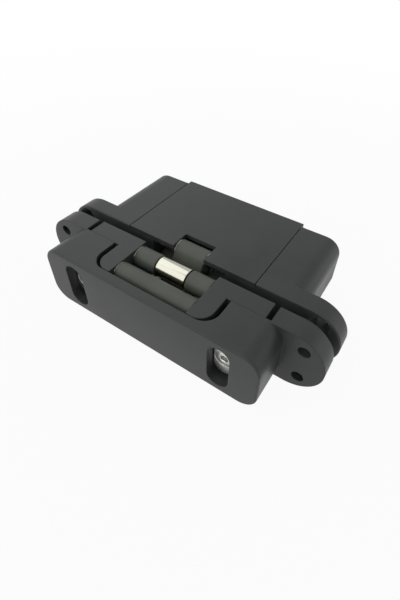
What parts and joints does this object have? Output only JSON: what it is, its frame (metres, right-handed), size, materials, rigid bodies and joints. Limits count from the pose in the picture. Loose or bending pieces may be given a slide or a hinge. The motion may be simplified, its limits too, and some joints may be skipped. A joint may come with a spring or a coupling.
{
  "type": "hydraulic door hinge",
  "caption": "Concealed hydraulic door hinge with crossing arms: round-ended mortise leaves, sliding carrier, bright sleeve, and a spring-loaded piston closer in the deep leaf",
  "frame": {"origin": "middle of the frame leaf's mounting face, the face of its round-ended faceplate", "axes": "X along the hinge axis, Y out of the frame leaf's mounting face towards the door leaf, Z across the door's thickness towards the side that the door opens to"},
  "size_m": [0.1446, 0.0815, 0.03],
  "materials": {
    "charcoal": "satin",
    "arm_steel": "satin",
    "chrome": "polished",
    "steel": "satin",
    "zinc": "satin",
    "brass": "satin",
    "rubber": "matte",
    "bronze": "satin"
  },
  "bodies": {
    "frame_leaf": {"frame_housing": "charcoal"},
    "clamp": {"clamp_slides": "zinc", "clamp_screws": "zinc", "clamp_nuts": "zinc"},
    "carrier_block": {"carrier": "charcoal", "near_pin": "steel", "spacer_sleeve": "chrome", "link_pivot_pin": "steel", "ear_washers": "steel"},
    "outer_arms": {"outer_arm_left": "arm_steel", "outer_arm_right": "arm_steel", "centre_pin": "steel", "crosshead_pin": "steel", "centre_washers": "steel"},
    "inner_arm_body": {"inner_arm": "arm_steel", "arm_bushes": "bronze", "link_end_pin": "steel"},
    "door_leaf": {"door_body": "charcoal", "door_cover": "charcoal", "cover_screws": "zinc", "door_pin": "steel", "gland": "brass", "rod_seal": "rubber", "cylinder_cap": "steel", "cap_seal": "rubber", "closing_spring": "steel", "door_washers": "steel", "speed_screw_seals": "rubber"},
    "piston_group": {"crosshead": "steel", "piston_rod": "steel", "piston": "steel", "piston_seal": "rubber", "check_balls": "steel"},
    "link_body": {"link": "arm_steel"},
    "closing_screw": {"closing_speed_screw": "brass"},
    "latching_screw": {"latching_speed_screw": "brass"}
  },
  "joints": [
    {"name": "height_adjust", "type": "slide", "parent": "frame_leaf", "child": "clamp", "axis": [0, 0, 1], "range_m": [-0.002, 0.002]},
    {"name": "side_adjust", "type": "slide", "parent": "clamp", "child": "carrier_block", "axis": [1, 0, 0], "range_m": [-0.002, 0.002]},
    {"name": "opening", "type": "hinge", "parent": "carrier_block", "child": "outer_arms", "pos_m": [0, -0.0046, 0.0099], "axis": [1, 0, 0], "range_deg": [0, 59.96], "stiffness_Nm_per_rad": 0.15, "springref_deg": -57.3},
    {"name": "arm_crossing", "type": "hinge", "parent": "outer_arms", "child": "inner_arm_body", "pos_m": [0, 0.0024, -0.0015], "axis": [1, 0, 0], "range_deg": [-9.98, 0.05]},
    {"name": "door_swing", "type": "hinge", "parent": "inner_arm_body", "child": "door_leaf", "pos_m": [0, 0.0094, 0.0099], "axis": [1, 0, 0], "range_deg": [-0.05, 60.01]},
    {"name": "link_swing", "type": "hinge", "parent": "carrier_block", "child": "link_body", "pos_m": [0, -0.0171, 0.0099], "axis": [1, 0, 0], "range_deg": [-0.05, 37.89]},
    {"name": "piston_stroke", "type": "slide", "parent": "door_leaf", "child": "piston_group", "axis": [0, -1, 0], "range_m": [-0.0001, 0.01139], "deforming": ["closing_spring"]},
    {"name": "closing_speed_turn", "type": "hinge", "parent": "door_leaf", "child": "closing_screw", "pos_m": [-0.029, 0.0048, 0], "axis": [0, 1, 0], "range_deg": [-180, 180]},
    {"name": "latching_speed_turn", "type": "hinge", "parent": "door_leaf", "child": "latching_screw", "pos_m": [0.029, 0.0048, 0], "axis": [0, 1, 0], "range_deg": [-180, 180]}
  ],
  "couplings": [
    {"joint": "arm_crossing", "follows": "opening", "ratio": -0.16547},
    {"joint": "door_swing", "follows": "opening", "ratio": 1},
    {"joint": "link_swing", "follows": "opening", "ratio": 0.63108},
    {"joint": "piston_stroke", "follows": "opening", "m_per_rad": 0.010785}
  ]
}
